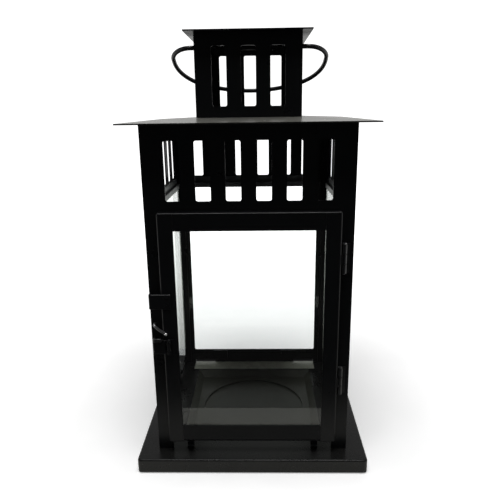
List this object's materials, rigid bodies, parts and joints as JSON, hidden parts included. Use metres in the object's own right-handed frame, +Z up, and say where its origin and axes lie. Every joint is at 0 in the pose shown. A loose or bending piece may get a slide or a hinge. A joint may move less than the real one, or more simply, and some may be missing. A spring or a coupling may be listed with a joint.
{
  "type": "solar lantern",
  "caption": "Square black sheet-metal lantern with glazed walls, a hinged glass door with corner latch, slotted vent head, wire bail and a solar lamp head under a flat cap.",
  "frame": {"origin": "centre of the footprint at the underside of the rubber feet", "axes": "+Z up, -Y the side with the door, +X the side with the door's hinges"},
  "size_m": [0.15, 0.15, 0.2766],
  "materials": {
    "black_steel": "semi-gloss",
    "inner_steel": "satin",
    "bright_steel": "satin",
    "window_glass": "polished",
    "rubber_pad": "matte",
    "black_plastic": "matte",
    "solar_silicon": "gloss",
    "clear_cover": "gloss",
    "circuit_green": "satin",
    "led_yellow": "gloss",
    "battery_wrap": "satin",
    "lead_red": "satin"
  },
  "bodies": {
    "lantern": {"base_tray": "black_steel", "floor_pan": "black_steel", "foot_pads": "rubber_pad", "door_stops": "inner_steel", "front_wall": "black_steel", "left_wall": "black_steel", "right_wall": "black_steel", "rear_wall": "black_steel", "left_glass": "window_glass", "right_glass": "window_glass", "rear_glass": "window_glass", "left_glass_rail": "inner_steel", "right_glass_rail": "inner_steel", "rear_glass_rail": "inner_steel", "glass_clips": "inner_steel", "roof_brackets": "inner_steel", "roof_plate": "black_steel", "chimney_front": "black_steel", "chimney_rear": "black_steel", "chimney_left": "black_steel", "chimney_right": "black_steel", "cap_plate": "black_steel", "body_hinge_leaves": "black_steel", "hinge_pins": "bright_steel", "solar_tray": "black_plastic", "solar_cell": "solar_silicon", "solar_cover": "clear_cover", "lamp_housing": "black_plastic", "lamp_board": "circuit_green", "board_parts": "black_plastic", "lamp_led": "led_yellow", "lamp_lens": "clear_cover", "battery": "battery_wrap", "cell_leads": "lead_red", "battery_leads": "lead_red", "switch_body": "bright_steel", "head_screws": "bright_steel"},
    "door": {"door_left_stile": "black_steel", "door_right_stile": "black_steel", "door_top_rail": "black_steel", "door_low_rail": "black_steel", "door_corner_plates": "inner_steel", "door_glass": "window_glass", "door_glass_clips": "inner_steel", "door_hinge_leaves": "black_steel", "latch_strap": "black_steel", "strap_rivets": "bright_steel", "hasp_leaf": "black_steel", "hasp_pin": "bright_steel"},
    "hasp": {"latch_hasp": "black_steel"},
    "hook": {"latch_hook": "bright_steel"},
    "bail": {"bail_handle": "black_steel", "bail_retainers": "bright_steel"},
    "slider": {"switch_slider": "black_plastic"}
  },
  "joints": [
    {"name": "door_hinge", "type": "hinge", "parent": "lantern", "child": "door", "pos_m": [0.0565, -0.0645, 0.1], "axis": [0, 0, 1], "range_deg": [0, 125]},
    {"name": "hasp_hinge", "type": "hinge", "parent": "door", "child": "hasp", "pos_m": [-0.0508, -0.069, 0.0874], "axis": [0, 0, 1], "range_deg": [0, 150]},
    {"name": "hook_turn", "type": "hinge", "parent": "door", "child": "hook", "pos_m": [-0.0522, -0.0692, 0.0964], "axis": [0, 1, 0], "range_deg": [-36, 26]},
    {"name": "bail_swing", "type": "hinge", "parent": "lantern", "child": "bail", "pos_m": [0, 0, 0.2691], "axis": [1, 0, 0], "range_deg": [-15, 249]},
    {"name": "switch_slide", "type": "slide", "parent": "lantern", "child": "slider", "axis": [0, 1, 0], "range_m": [0, 0.003]}
  ]
}
